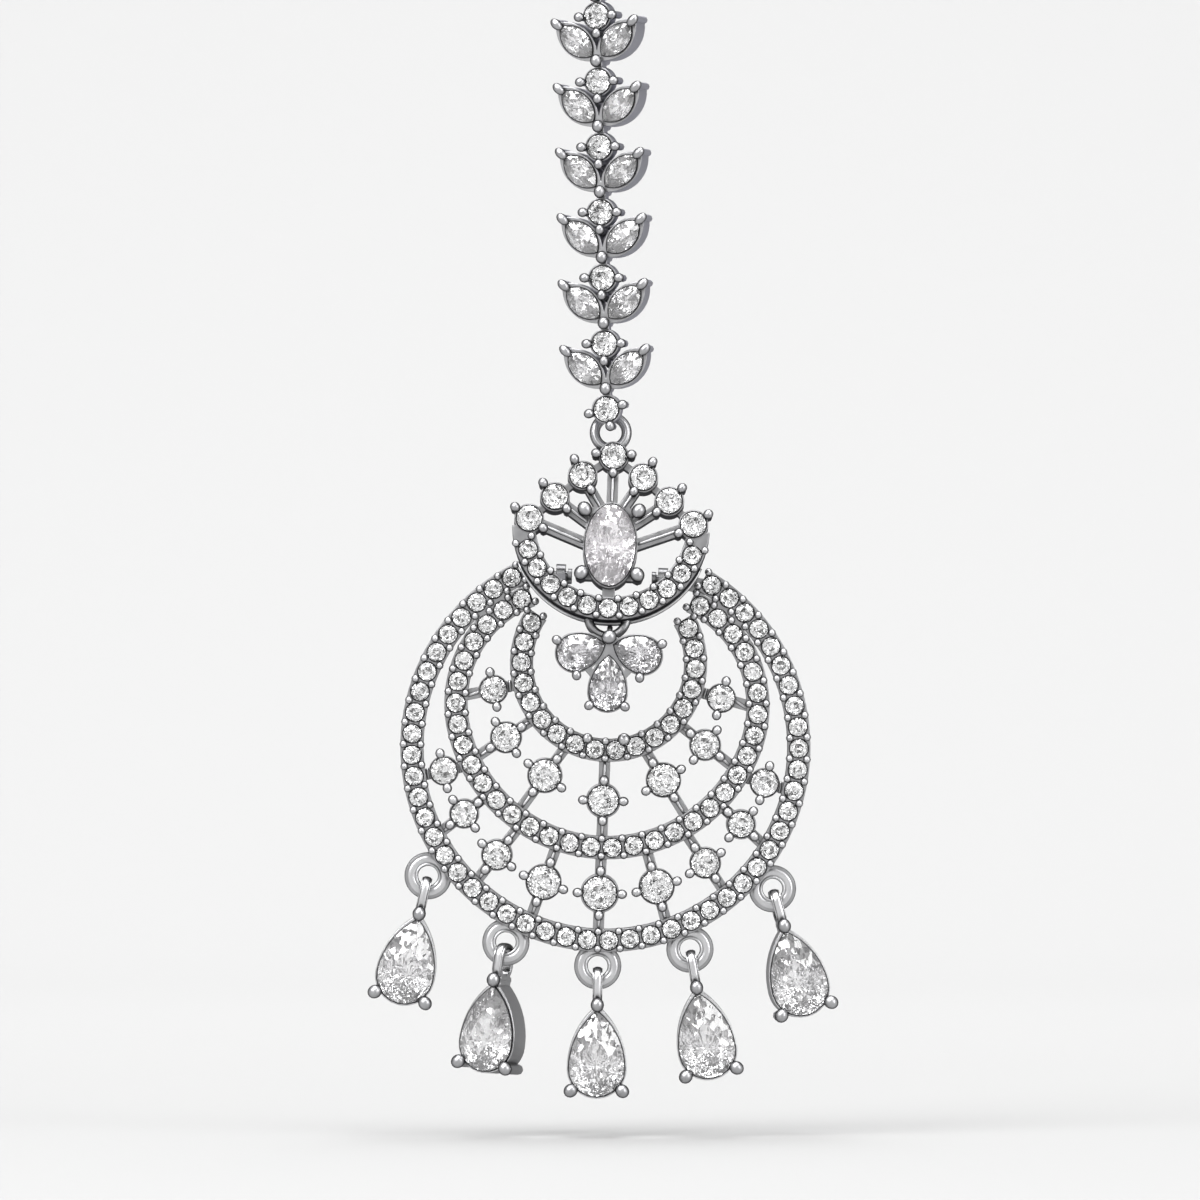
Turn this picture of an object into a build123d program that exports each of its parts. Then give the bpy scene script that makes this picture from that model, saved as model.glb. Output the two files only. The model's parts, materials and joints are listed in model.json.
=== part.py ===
from build123d import *
import os
from math import asin, cos, degrees, radians, sin, sqrt

# A maang tikka: a hair hook, seven jewelled links, a lotus crown, a trefoil that hangs in front,
# and a pierced crescent with five pear drops. Millimetres, +Z up, the front faces -Y.
# The origin is the inside top of the hair hook, where the jewel hangs.
# Flat metalwork is drawn in face coordinates: x to the right, y up, z out of the front face.
# Angles on a circle are measured from straight down towards the right.

FRONT = Plane.XZ.location

# Clearances
stone_lift = 0.10          # girdle in front of the metal face
stone_gap = 0.05           # between a stone's girdle and its prongs
seat_share = 0.94          # opening under a stone, as a share of its girdle
round_crown = 0.42         # height of a round stone's crown, as a share of its radius
round_pavilion = 0.7       # depth of its pavilion
loop_gap = 0.06            # between two links that hang in each other

# Hair hook
hook_wire = 0.9            # diameter
hook_inside = 4.4          # width of the hook's mouth
hook_shank = 6.6           # straight back of the hook, below the bend
hook_tip = 4.6             # straight tip of the hook, below the bend
eye_radius = 0.7           # centre line of the eye at the hook's foot
eye_wire = 0.5             # diameter
eye_pull = 0.4             # how softly the neck bends into the eye
hook_ball = 0.56           # radius of the ball on the hook's tip

# Chain
link_count = 7
link_pitch = 4.683
link_drop = 12.56          # from the origin down to the first link's heart prong
chain_lean = 0.79          # degrees, the foot of the chain stands to the right
chain_aside = 0.54         # the chain's line, to the right of the hook
link_turns = (2.6, 1.4, 0.2, -0.8, -0.8, 0.0, 0.0)    # degrees, each link's own roll
chain_face = -1.75         # the links' front face, in front of the plane they hang in
top_yaw = 20.0             # degrees, how far the first link's face turns to the left
foot_yaw = 8.0             # the same for the last link
leaf_angle = 43.5          # degrees, each leaf above level
leaf_reach = 2.06          # from the heart prong to a leaf's middle
leaf_length = 3.36
leaf_width = 1.9
leaf_wall = 0.12
leaf_depth = 2.1
leaf_crown = 0.45
leaf_pavilion = 0.95
bud_drop = 1.5             # from the heart prong down to the round stone
bud_radius = 0.95
bud_depth = 1.15
bud_wall = 0.1
neck_width = 0.6           # bar from the heart prong to the round cup
post_width = 0.44          # bar from a cup to a prong
prong_radius = 0.27
prong_height = 0.35        # prong above the metal face
head_rise = 0.8            # a prong's tapered head, as a share of its radius
head_taper = 30.0          # degrees
throat_height = 2.2        # from the heart prong up to the bar between the leaves
bar_radius = 0.25
bar_length = 2.2
last_bud_turn = 14.0       # degrees, the last round stone's prongs stand turned
loop_radius = 0.62         # centre line of the loop behind each round stone
loop_wire = 0.44           # diameter
bail_radius = 0.82         # centre line of the last link's loop

# Pendant
pendant_roll = 2.2         # degrees clockwise, seen from the front
crown_tilt = -10.0         # degrees, the crown's foot stands forward
crown_hinge = (1.24, 0, -42.69)
band_width = 1.65
band_depth = 1.6
seat_radius = 0.62         # corners of the eight-sided hole under each row stone
pave_radius = 0.68
strap_front = -0.4         # spokes and rails lie behind the face
strap_back = -1.3
spoke_width = 0.8
rail_width = 0.5

# Crown, from the middle of its lower band
u_radius = 6.25
u_stones = 11
u_half_angle = 69.4
u_end = 86.0
fan_radius = 0.97
fan = [
    # across, up, prong angle above level, height where its spoke meets the middle line
    (0.0, 4.79, 90, -1.0),
    (2.16, 3.32, 60, -0.2),
    (4.08, 1.69, 46, -1.17),
    (5.86, 0.05, 35, -2.2),
]
oval_centre = -1.67
oval_half_width = 1.85
oval_half_length = 3.02
oval_crown = 0.75
oval_pavilion = 1.3
oval_prongs = [(1.95, 2.5), (2.02, -2.18)]
oval_prong_radius = 0.4
oval_prong_height = 0.5
oval_bar = 0.6
stem_width = 0.9           # bar from the oval down to the lower band
cup_wall = 0.1
ring_middle = (-0.28, 6.64)
ring_major = 1.14
ring_wire = 0.72
ring_depth = -0.8
trefoil_ring_height = -6.72
trefoil_ring_major = 1.35
trefoil_ring_wire = 0.66
trefoil_ring_depth = -1.1

# Hinge between the crown and the crescent
hinge_below = 3.98         # under the middle of the crown's lower band
hinge_back = 0.51          # behind the crown's own hinge
hinge_aside = 0.2          # to the right of the crown's middle line
lug_across = 3.65
lug_root = (-5.2, -1.0)    # height and depth where an eye's arm starts, in the crown's face frame
lug_arm = 1.1
lug_thickness = 0.7
lug_radius = 0.85
pin_radius = 0.35
pin_clearance = 0.1
pin_depth = -0.59          # behind the crescent's face
pin_head = 0.55
pin_head_thickness = 0.3
pin_run = 0.9              # pin beyond the lug's thickness
arm_gap = 0.15             # between a lug and the arm beside it
pin_in_arm = 0.45
arm_width = 1.1
arm_half_depth = 0.45
arm_root = (7.2, 0.5)      # across from the middle line, and below the hinge

# Trefoil
leaflet_radius = 1.3
side_leaflet = 3.5         # length of a side stone
middle_leaflet = 3.95
leaflet_wall = 0.15
leaflet_depth = 1.2
leaflet_crown = 0.5
leaflet_pavilion = 0.8
leaflet_slope = 18.0       # degrees, the side stones below level
trefoil_aside = 0.2          # the hub, to the right of its ring's foot
trefoil_loop_radius = 0.65
trefoil_loop_wire = 0.4
trefoil_loop_rise = -0.03  # above the hub
trefoil_loop_sink = 0.15   # into the back of the hub
hub_radius = 0.4
hub_bar = 1.1
gallery_width = 0.5
side_tip = (0.32, -0.56)   # tip of a side stone, from the hub
middle_tip = -1.32

# Crescent, from the centre of its outer band
crescent_below = 12.1      # from the hinge down to that centre
outer_radius = 13.84
outer_stones = 48
outer_half_angle = 148.8
middle_centre = (0, 3.7)
middle_radius = 10.9
middle_turn = 75.0         # where the middle band's tighter shoulders begin
shoulder_radius = 8.25
middle_stones = 34
middle_pitch = 1.54
inner_centre = (0, 5.99)
inner_radius = 6.23
inner_stones = 18
inner_half_angle = 115.65
band_end = 0.74            # metal beyond the middle of the last stone
row_centre = (0, 2.0)
inner_row = [
    # angle, distance, stone radius, spoke angle, prongs
    (0, 5.83, 1.15, 0, 4),
    (45.3, 5.97, 1.17, 34, 4),
    (77.5, 7.30, 1.05, 54, 4),
    (102.5, 8.35, 0.96, 76.5, 2),
]
outer_row = [
    (0, 12.46, 1.29, 0, 4),
    (18.9, 12.50, 1.20, 17.5, 4),
    (36.7, 12.48, 1.04, 36, 4),
    (54.2, 12.22, 0.98, 49.5, 4),
    (70.2, 12.20, 0.97, 76, 2),
]
washer_reach = 15.68       # from the outer band's centre
washer_radius = 1.65
washer_hole = 0.75
washer_thickness = 0.8
washer_depth = -0.85       # its mid plane

# Drops
drops = [
    # washer angle, tilt to the right, turn to the left
    (-51.8, -13.0, 0),
    (-24.8, -8.0, 23),
    (0.2, -0.6, 0),
    (24.9, 9.8, 0),
    (51.9, 15.0, -5),
]
drop_radius = 2.0
drop_length = 6.25
drop_wall = 0.14
drop_depth = 2.1
drop_face = 1.0            # in front of the washer's mid plane
drop_prong = 0.38
drop_prong_height = 0.3    # above the drop's face
drop_tip = 0.35            # from the middle of the top prong to the stone's tip
drop_tip_gap = 0.1
drop_crown = 0.75
drop_pavilion = 1.3
bail_width = 0.7
bail_strip = 0.3
bail_inside = 0.75         # half of the bail's inner depth
bail_bend = 0.6            # inner radius of its corners
bail_top = -0.45           # inner top, under the washer's centre
bail_foot = -2.35          # inner foot
drop_shoulder = 2.72       # from the washer's centre to the top prong
drop_prong_reach = 2.46
drop_prong_angle = 49.5


def on_circle(centre, radius, angle):
    """Point on a circle, its angle measured from straight down towards the right."""
    turn = radians(angle)
    return (centre[0] + radius * sin(turn), centre[1] - radius * cos(turn))


def slab(outline, back, front):
    """Solid with this outline between two depths."""
    return extrude(Pos(0, 0, back) * outline, amount=front - back, dir=(0, 0, 1))


def disc(centre, radius):
    """Round face about a centre."""
    return Pos(centre[0], centre[1]) * Circle(radius)


def bar(start, end, width):
    """Straight flat bar from one point to another."""
    run = (end[0] - start[0], end[1] - start[1])
    length = sqrt(run[0] ** 2 + run[1] ** 2)
    middle = ((start[0] + end[0]) / 2, (start[1] + end[1]) / 2)
    lean = degrees(asin(max(-1, min(1, run[1] / length))))
    if run[0] < 0:
        lean = 180 - lean
    return Pos(middle[0], middle[1]) * Rot(Z=lean) * Rectangle(length, width)


def strip(centre, radius, start, end, width):
    """Ring sector of a given width between two angles."""
    inner = radius - width / 2
    outer = radius + width / 2
    middle = (start + end) / 2
    outside = ThreePointArc(*[on_circle(centre, outer, angle) for angle in (start, middle, end)])
    inside = ThreePointArc(*[on_circle(centre, inner, angle) for angle in (end, middle, start)])
    first = Line(outside @ 1, inside @ 0)
    last = Line(inside @ 1, outside @ 0)
    return Face(Wire([outside, first, inside, last]))


def lens(length, width):
    """Leaf shape made of two equal arcs, lying along x."""
    half = length / 2
    upper = ThreePointArc((-half, 0), (0, width / 2), (half, 0))
    lower = ThreePointArc((half, 0), (0, -width / 2), (-half, 0))
    return Face(Wire([upper, lower]))


def pear_side(radius, height):
    """Radius and spread of the arc from a pear's widest point to its tip."""
    side = (height ** 2 + radius ** 2) / (2 * radius)
    return side, degrees(asin(height / side))


def pear(radius, height):
    """Pear face: a half round below and two side arcs that meet in a tip above."""
    side, spread = pear_side(radius, height)
    half = radians(spread / 2)
    cheek = (side * cos(half) - side + radius, side * sin(half))
    foot = ThreePointArc((-radius, 0), (0, -radius), (radius, 0))
    right = ThreePointArc((radius, 0), cheek, (0, height))
    left = ThreePointArc((0, height), (-cheek[0], cheek[1]), (-radius, 0))
    return Face(Wire([foot, right, left]))


def round_outline(radius, sides=8):
    """Corners of a round stone's girdle."""
    return [on_circle((0, 0), radius, 360 * (i + 0.5) / sides) for i in range(sides)]


def oval_outline(half_width, half_length, sides=16):
    """Corners of an oval stone's girdle."""
    ring = round_outline(1, sides)
    return [(half_width * x, half_length * y) for x, y in ring]


def lens_outline(length, width, steps=6):
    """Corners of a leaf stone's girdle, without its two sharp ends."""
    upper = lens(length, width).edges().sort_by(Axis.Y)[-1]
    top = [upper @ ((i + 0.35) / (steps - 0.3)) for i in range(steps)]
    corners = sorted([(p.X, p.Y) for p in top])
    return corners + [(-x, -y) for x, y in corners]


def pear_outline(radius, height, foot_steps=8, side_steps=4):
    """Corners of a pear stone's girdle, anticlockwise from its left shoulder."""
    side, spread = pear_side(radius, height)
    foot = [on_circle((0, 0), radius, -90 + 180 * i / foot_steps) for i in range(foot_steps + 1)]
    turns = [radians(spread * i / side_steps) for i in range(1, side_steps)]
    right = [(side * cos(t) - side + radius, side * sin(t)) for t in turns]
    left = [(-x, y) for x, y in reversed(right)]
    return foot + right + [(0, height)] + left


def cut_stone(outline, crown, pavilion, table=0.58):
    """Faceted stone: a table in front, one crown and one pavilion facet on each girdle side."""
    girdle = [(x, y, 0) for x, y in outline]
    top = [(x * table, y * table, crown) for x, y in outline]
    culet = (0, 0, -pavilion)
    faces = [Face(Wire.make_polygon(top))]
    for i in range(len(outline)):
        j = (i + 1) % len(outline)
        faces.append(Face(Wire.make_polygon([girdle[i], girdle[j], top[j], top[i]])))
        faces.append(Face(Wire.make_polygon([girdle[j], girdle[i], culet])))
    return Pos(0, 0, stone_lift) * Solid(Shell(faces))


def round_stone(radius):
    """Eight-sided round stone."""
    return cut_stone(round_outline(radius), round_crown * radius, round_pavilion * radius)


def prong(centre, radius, back, front):
    """Eight-sided post with a tapered head."""
    outline = Pos(centre[0], centre[1], back) * RegularPolygon(radius, 8)
    post = extrude(outline, amount=front - back)
    head = extrude(Pos(0, 0, front - back) * outline, amount=head_rise * radius, taper=head_taper)
    return post + head


def seat_hole(centre, radius=seat_radius):
    """Eight-sided opening under a round stone."""
    return Pos(centre[0], centre[1]) * RegularPolygon(radius, 8)


def side_loop(middle, major, wire):
    """Wire ring that stands across the face, seen edge on from the front."""
    return Pos(*middle) * Rot(Y=90) * Torus(major, wire / 2)


def place(node, *shapes):
    """Write one node from its finished shapes."""
    solids = [solid for shape in shapes for solid in shape.solids()]
    result = solids[0] if len(solids) == 1 else Compound(children=solids)
    export_step(result, f"parts/{node}.step")
    volumes[node] = sum(solid.volume for solid in solids)
    return result


# Hair hook -----------------------------------------------------------------

def hair_hook(eye_middle):
    """Bent wire with a closed eye, in the plane across the face."""
    half = (hook_inside + hook_wire) / 2
    crest = hook_wire / 2
    spring = crest - half
    bend = ThreePointArc((0, half, spring), (0, 0, crest), (0, -half, spring))
    tip = Line((0, half, spring - hook_tip), (0, half, spring))
    shank_foot = (0, -half, spring - hook_shank)
    shank = Line((0, -half, spring), shank_foot)
    neck_foot = (eye_middle[0], eye_middle[1], eye_middle[2] + eye_radius)
    aside = (neck_foot[0] - shank_foot[0], neck_foot[1] - shank_foot[1])
    pull = eye_pull / sqrt(aside[0] ** 2 + aside[1] ** 2)
    neck = Spline(shank_foot, neck_foot, tangents=[(0, 0, -1), (pull * aside[0], pull * aside[1], -1)])
    section = Plane(origin=tip @ 0, z_dir=tip % 0) * Circle(hook_wire / 2)
    wire = sweep(section, path=Wire([tip, bend, shank]))
    neck_section = Plane(origin=shank_foot, z_dir=(0, 0, -1)) * Circle(hook_wire / 2)
    wire += sweep(neck_section, path=Wire([neck]))
    ball = Pos(*(tip @ 0)) * Sphere(hook_ball)
    neck_ball = Pos(*neck_foot) * Sphere(hook_wire / 2)
    eye = Pos(*eye_middle) * Rot(Z=-top_yaw) * Rot(Y=90) * Torus(eye_radius, eye_wire / 2)
    return wire + ball + neck_ball + eye


# Chain links ---------------------------------------------------------------

def link_location(index):
    """Where a link's heart prong is, with the chain's lean and the link's own turn."""
    run = link_drop + link_pitch * index
    lean = radians(chain_lean)
    yaw = top_yaw + (foot_yaw - top_yaw) * index / (link_count - 1)
    heart = Pos(chain_aside + run * sin(lean), 0, -run * cos(lean))
    roll = chain_lean + link_turns[index]
    return heart * Rot(Y=-roll) * Rot(Z=-yaw) * Pos(0, chain_face, 0) * FRONT


def leaf_frame(side):
    """Location of one leaf's middle, its length along x."""
    angle = leaf_angle if side > 0 else 180 - leaf_angle
    reach = radians(angle)
    return Pos(leaf_reach * cos(reach), leaf_reach * sin(reach)) * Rot(Z=angle)


def link_metal(last):
    """One link: two leaf cups, a round cup, its prongs, the bar above and the loop below."""
    wall = 2 * leaf_wall
    cup = slab(lens(leaf_length + 3 * wall, leaf_width + wall), -leaf_depth, 0)
    cup -= slab(lens(seat_share * leaf_length, seat_share * leaf_width), -leaf_depth - 1, 1)
    body = Part()
    tip = leaf_length / 2 + stone_gap + prong_radius
    for side in (-1, 1):
        body += leaf_frame(side) * cup
        body += leaf_frame(side) * prong((tip, 0), prong_radius, -leaf_depth, prong_height)
    body += prong((0, 0), leaf_reach - leaf_length / 2 - stone_gap, -leaf_depth, prong_height)
    bud = (0, -bud_drop)
    reach = bud_radius + stone_gap + prong_radius
    turn = last_bud_turn if last else 0
    body += slab(disc(bud, bud_radius + bud_wall), -bud_depth, 0)
    body += slab(bar((0, 0), bud, neck_width), -bud_depth, -stone_lift)
    for angle in (-90, 0, 90):
        post = on_circle(bud, reach, angle + turn)
        body += slab(bar(bud, post, post_width), -bud_depth, -bud_depth / 2)
        body += prong(post, prong_radius, -bud_depth, prong_height)
    body -= slab(disc(bud, seat_share * bud_radius), -bud_depth - 0.1, 1)
    throat = Cylinder(bar_radius, bar_length, rotation=(0, 90, 0))
    body += Pos(0, throat_height, chain_face) * throat
    if not last:
        body += side_loop((0, loop_height(), chain_face), loop_radius, loop_wire)
    return body


def loop_height():
    """Height of the loop's middle, so that the next link's bar hangs just clear inside it."""
    slack = loop_radius - loop_wire / 2 - bar_radius - loop_gap
    return throat_height - link_pitch + slack


def crown_bail():
    """Loop behind the last round stone; the crown's ring hangs in it."""
    foot = ring_wire / 2 + loop_gap + loop_wire / 2
    height = crown_hinge[2] - foot + bail_radius
    return Pos(crown_hinge[0], crown_hinge[1], height) * Rot(Y=90) * Torus(bail_radius, loop_wire / 2)


def chain():
    """Every link with its three stones."""
    leaf = cut_stone(lens_outline(leaf_length, leaf_width), leaf_crown, leaf_pavilion)
    bud = Pos(0, -bud_drop) * round_stone(bud_radius)
    for index in range(link_count):
        last = index == link_count - 1
        here = link_location(index)
        metal = here * link_metal(last)
        if last:
            metal += crown_bail()
        number = index + 1
        place(f"chain_link_{number}", metal)
        place(f"link_bud_stone_{number}", here * bud)
        place(f"link_leaf_stone_left_{number}", here * leaf_frame(-1) * leaf)
        place(f"link_leaf_stone_right_{number}", here * leaf_frame(1) * leaf)


# Crown ---------------------------------------------------------------------

def crown_location():
    """The crown's face frame, its origin in the middle of the lower band."""
    hinge = Pos(*crown_hinge) * Rot(Y=pendant_roll) * Rot(X=crown_tilt) * FRONT
    return hinge * Pos(-ring_middle[0], -ring_middle[1] - ring_major, -ring_depth)


def hinge_location():
    """The hinge between crown and crescent, upright but for the pendant's roll."""
    middle = crown_location().position
    roll = radians(pendant_roll)
    x = middle.X - hinge_below * sin(roll) + hinge_aside
    z = middle.Z - hinge_below * cos(roll)
    return Pos(x, hinge_back, z) * Rot(Y=pendant_roll)


def u_points():
    """Middles of the stones in the crown's lower band."""
    step = 2 * u_half_angle / (u_stones - 1)
    return [on_circle((0, 0), u_radius, -u_half_angle + step * i) for i in range(u_stones)]


def fan_points():
    """The seven fan stones from left to right: across, up and prong direction."""
    right = [(across, up, angle) for across, up, angle, foot in fan]
    left = [(-across, up, 180 - angle) for across, up, angle in reversed(right[1:])]
    return left + right


def fan_prongs(across, up, angle):
    """Prong places of one fan stone: outside and inside, or three round the top stone."""
    reach = fan_radius + stone_gap + prong_radius
    turns = (angle, angle + 180) if across else (5, 175, 270)
    return [(across + reach * cos(radians(t)), up + reach * sin(radians(t))) for t in turns]


def crown_straps():
    """Spokes from the fan stones to the oval, the rails between them and the necks."""
    straps = Sketch()
    for side in (-1, 1):
        for across, up, angle, foot in fan:
            straps += bar((side * across, up), (0, foot), spoke_width)
        for inner, outer in zip(fan, fan[1:]):
            straps += bar((side * inner[0], inner[1]), (side * outer[0], outer[1]), rail_width)
    straps += bar((0, oval_centre), (0, -u_radius), stem_width)
    for across, up, angle in fan_points():
        for post in fan_prongs(across, up, angle):
            straps += bar((across, up), post, post_width)
    for across, up in oval_prongs:
        height = oval_centre + up
        straps += bar((-across, height), (across, height), oval_bar)
    return straps


def crown_frame():
    """Lower band, cups, spokes, prongs and both rings as one soldered piece."""
    plate = strip((0, 0), u_radius, -u_end, u_end, band_width)
    for across, up, angle in fan_points():
        plate += disc((across, up), fan_radius + cup_wall)
    plate += Pos(0, oval_centre) * Ellipse(oval_half_width + cup_wall, oval_half_length + cup_wall)
    seats = Pos(0, oval_centre) * Ellipse(seat_share * oval_half_width, seat_share * oval_half_length)
    for point in u_points():
        seats += seat_hole(point)
    for across, up, angle in fan_points():
        seats += seat_hole((across, up), seat_share * fan_radius)
    body = slab(plate - seats, -band_depth, 0)
    body += slab(crown_straps() - seats, strap_back, strap_front)
    posts = []
    for stone in fan_points():
        posts += [prong(post, prong_radius, strap_back, prong_height) for post in fan_prongs(*stone)]
    for side in (-1, 1):
        for across, up in oval_prongs:
            post = (side * across, oval_centre + up)
            posts.append(prong(post, oval_prong_radius, -band_depth, oval_prong_height))
    body += posts
    body += Pos(ring_middle[0], ring_middle[1], ring_depth) * Torus(ring_major, ring_wire / 2)
    lower = Pos(0, trefoil_ring_height, trefoil_ring_depth)
    body += lower * Torus(trefoil_ring_major, trefoil_ring_wire / 2)
    return crown_location() * body + crown_lugs()


def crown_lugs():
    """Two eyes behind the lower band; the crescent's pins turn in them."""
    lugs = Part()
    root = crown_location() * Pos(0, *lug_root)
    depth = hinge_back - root.position.Y
    rise = root.position.Z - hinge_location().position.Z
    for side in (-1, 1):
        eye = Cylinder(lug_radius, lug_thickness)
        arm = bar((0, 0), (-rise, depth), lug_arm)
        arm = extrude(arm, amount=lug_thickness / 2, both=True)
        lug = Rot(Y=90) * (eye + arm)
        hole = Rot(Y=90) * Cylinder(pin_radius + pin_clearance, 3)
        lugs += hinge_location() * Pos(side * lug_across, 0, 0) * Rot(Z=180) * lug
        lugs -= hinge_location() * Pos(side * lug_across, 0, 0) * hole
    return lugs


def crown():
    """Crown metal, oval, fan and lower band stones."""
    here = crown_location()
    place("crown_frame", crown_frame())
    oval = cut_stone(oval_outline(oval_half_width, oval_half_length), oval_crown, oval_pavilion)
    place("oval_stone", here * Pos(0, oval_centre) * oval)
    fan_stone = round_stone(fan_radius)
    place("crown_fan_stones", *[here * Pos(x, y) * fan_stone for x, y, angle in fan_points()])
    pave = round_stone(pave_radius)
    place("crown_pave_stones", *[here * Pos(x, y) * pave for x, y in u_points()])


# Trefoil -------------------------------------------------------------------

def trefoil_location():
    """The trefoil hangs upright from the ring at the crown's foot; origin at its hub."""
    ring_foot = trefoil_ring_height - trefoil_ring_major
    middle = (crown_location() * Pos(0, ring_foot, trefoil_ring_depth)).position
    slack = trefoil_loop_radius - trefoil_loop_wire / 2 - trefoil_ring_wire / 2 - loop_gap
    upright = Pos(middle.X, middle.Y, middle.Z) * Rot(Y=pendant_roll) * FRONT
    return upright * Pos(trefoil_aside, -trefoil_loop_rise - slack, -trefoil_loop_depth())


def trefoil_loop_depth():
    """Depth of the middle of the loop behind the hub."""
    return trefoil_loop_sink - leaflet_depth - trefoil_loop_radius


def leaflet_frames():
    """Length and location of each pear, its origin in the middle of the round end."""
    rows = []
    for side in (-1, 1):
        turn = radians(leaflet_slope)
        reach = side_leaflet - leaflet_radius
        x = side * (side_tip[0] + reach * cos(turn))
        y = side_tip[1] - reach * sin(turn)
        rows.append((side_leaflet, Pos(x, y) * Rot(Z=side * (90 - leaflet_slope))))
    rows.append((middle_leaflet, Pos(0, middle_tip - middle_leaflet + leaflet_radius)))
    return rows


def trefoil_posts():
    """Prongs at the round ends of the three pears, each with the middle of its own pear."""
    reach = leaflet_radius + stone_gap + prong_radius
    directions = [(-123, 6), (123, -6), (53, -53)]
    posts = []
    for (length, frame), turns in zip(leaflet_frames(), directions):
        middle = (frame.position.X, frame.position.Y)
        posts += [(middle, on_circle(middle, reach, turn)) for turn in turns]
    return posts


def trefoil_frame():
    """Three pear cups round a hub, with a loop behind it."""
    cups = Sketch()
    seats = Sketch()
    for length, frame in leaflet_frames():
        height = length - leaflet_radius
        cups += frame * pear(leaflet_radius + leaflet_wall, height + 2 * leaflet_wall)
        seats += frame * pear(seat_share * leaflet_radius, seat_share * height)
    cups += bar((0, 0), (0, middle_tip - hub_radius), hub_bar)
    middles = [(frame.position.X, frame.position.Y) for length, frame in leaflet_frames()]
    for side_middle in middles[:2]:
        cups += bar(side_middle, middles[2], gallery_width)
    body = slab(cups - seats, -leaflet_depth, 0)
    body += prong((0, 0), hub_radius, -leaflet_depth, prong_height)
    for middle, post in trefoil_posts():
        body += slab(bar(middle, post, gallery_width) - seats, -leaflet_depth, -leaflet_depth / 3)
        body += prong(post, prong_radius, -leaflet_depth, prong_height)
    loop = (0, trefoil_loop_rise, trefoil_loop_depth())
    return body + side_loop(loop, trefoil_loop_radius, trefoil_loop_wire)


def trefoil():
    """Trefoil metal and its three stones."""
    here = trefoil_location()
    place("trefoil_frame", here * trefoil_frame())
    names = ("trefoil_stone_left", "trefoil_stone_right", "trefoil_stone_middle")
    for name, (length, frame) in zip(names, leaflet_frames()):
        outline = pear_outline(leaflet_radius, length - leaflet_radius)
        place(name, here * frame * cut_stone(outline, leaflet_crown, leaflet_pavilion))


# Crescent ------------------------------------------------------------------

def crescent_location():
    """The crescent's face frame, its origin at the centre of the outer band."""
    return hinge_location() * FRONT * Pos(0, -crescent_below, -pin_depth)


def outer_points():
    """Middles of the outer band's stones."""
    step = 2 * outer_half_angle / (outer_stones - 1)
    angles = [-outer_half_angle + step * i for i in range(outer_stones)]
    return [on_circle((0, 0), outer_radius, angle) for angle in angles]


def inner_points():
    """Middles of the inner band's stones."""
    step = 2 * inner_half_angle / (inner_stones - 1)
    angles = [-inner_half_angle + step * i for i in range(inner_stones)]
    return [on_circle(inner_centre, inner_radius, angle) for angle in angles]


def shoulder_centre(side):
    """Centre of the tighter arc at one end of the middle band."""
    return on_circle(middle_centre, middle_radius - shoulder_radius, side * middle_turn)


def middle_point(run):
    """Point on the middle band's line, a length from its lowest point."""
    side = 1 if run > 0 else -1
    straight = middle_radius * radians(middle_turn)
    beyond = abs(run) - straight
    if beyond <= 0:
        return on_circle(middle_centre, middle_radius, degrees(run / middle_radius))
    angle = middle_turn + degrees(beyond / shoulder_radius)
    return on_circle(shoulder_centre(side), shoulder_radius, side * angle)


def middle_points():
    """Middles of the middle band's stones."""
    first = -(middle_stones - 1) / 2 * middle_pitch
    return [middle_point(first + middle_pitch * i) for i in range(middle_stones)]


def bands():
    """The three bands as one flat shape."""
    outer_end = outer_half_angle + degrees(band_end / outer_radius)
    inner_end = inner_half_angle + degrees(band_end / inner_radius)
    plate = strip((0, 0), outer_radius, -outer_end, outer_end, band_width)
    plate += strip(inner_centre, inner_radius, -inner_end, inner_end, band_width)
    plate += strip(middle_centre, middle_radius, -middle_turn, middle_turn, band_width)
    half = (middle_stones - 1) / 2 * middle_pitch + band_end
    beyond = half - middle_radius * radians(middle_turn)
    end = middle_turn + degrees(beyond / shoulder_radius)
    for side in (-1, 1):
        start = side * (middle_turn - 1)
        plate += strip(shoulder_centre(side), shoulder_radius, start, side * end, band_width)
    return plate


def line_meets_circle(point, angle, centre, radius):
    """How far along a direction a line from a point meets a circle, the farther crossing."""
    direction = on_circle((0, 0), 1, angle)
    x = point[0] - centre[0]
    y = point[1] - centre[1]
    along = x * direction[0] + y * direction[1]
    return -along + sqrt(along ** 2 + radius ** 2 - x ** 2 - y ** 2)


def line_leaves_circle(point, angle, centre, radius):
    """The same line followed backwards from outside the circle to its nearer crossing."""
    direction = on_circle((0, 0), -1, angle)
    x = point[0] - centre[0]
    y = point[1] - centre[1]
    along = x * direction[0] + y * direction[1]
    return -along - sqrt(along ** 2 + radius ** 2 - x ** 2 - y ** 2)


def accents(rows):
    """Both sides of a row of single stones: place, stone radius, spoke angle and prong count."""
    placed = []
    for angle, distance, radius, spoke, prongs in rows:
        for side in (-1, 1) if angle else (1,):
            point = on_circle(row_centre, distance, side * angle)
            placed.append((point, radius, side * spoke, prongs))
    return placed


def accent_posts(point, radius, spoke, prongs):
    """Prong places round one single stone, across its spoke and, if four, along it."""
    reach = radius + stone_gap + prong_radius
    turns = (90, 270) if prongs == 2 else (0, 90, 180, 270)
    return [on_circle(point, reach, spoke + turn) for turn in turns]


def spoke_bar(point, spoke, inward, outward):
    """Spoke through a stone's middle, from the band inside it to the band outside it."""
    return bar(on_circle(point, -inward, spoke), on_circle(point, outward, spoke), spoke_width)


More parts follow.
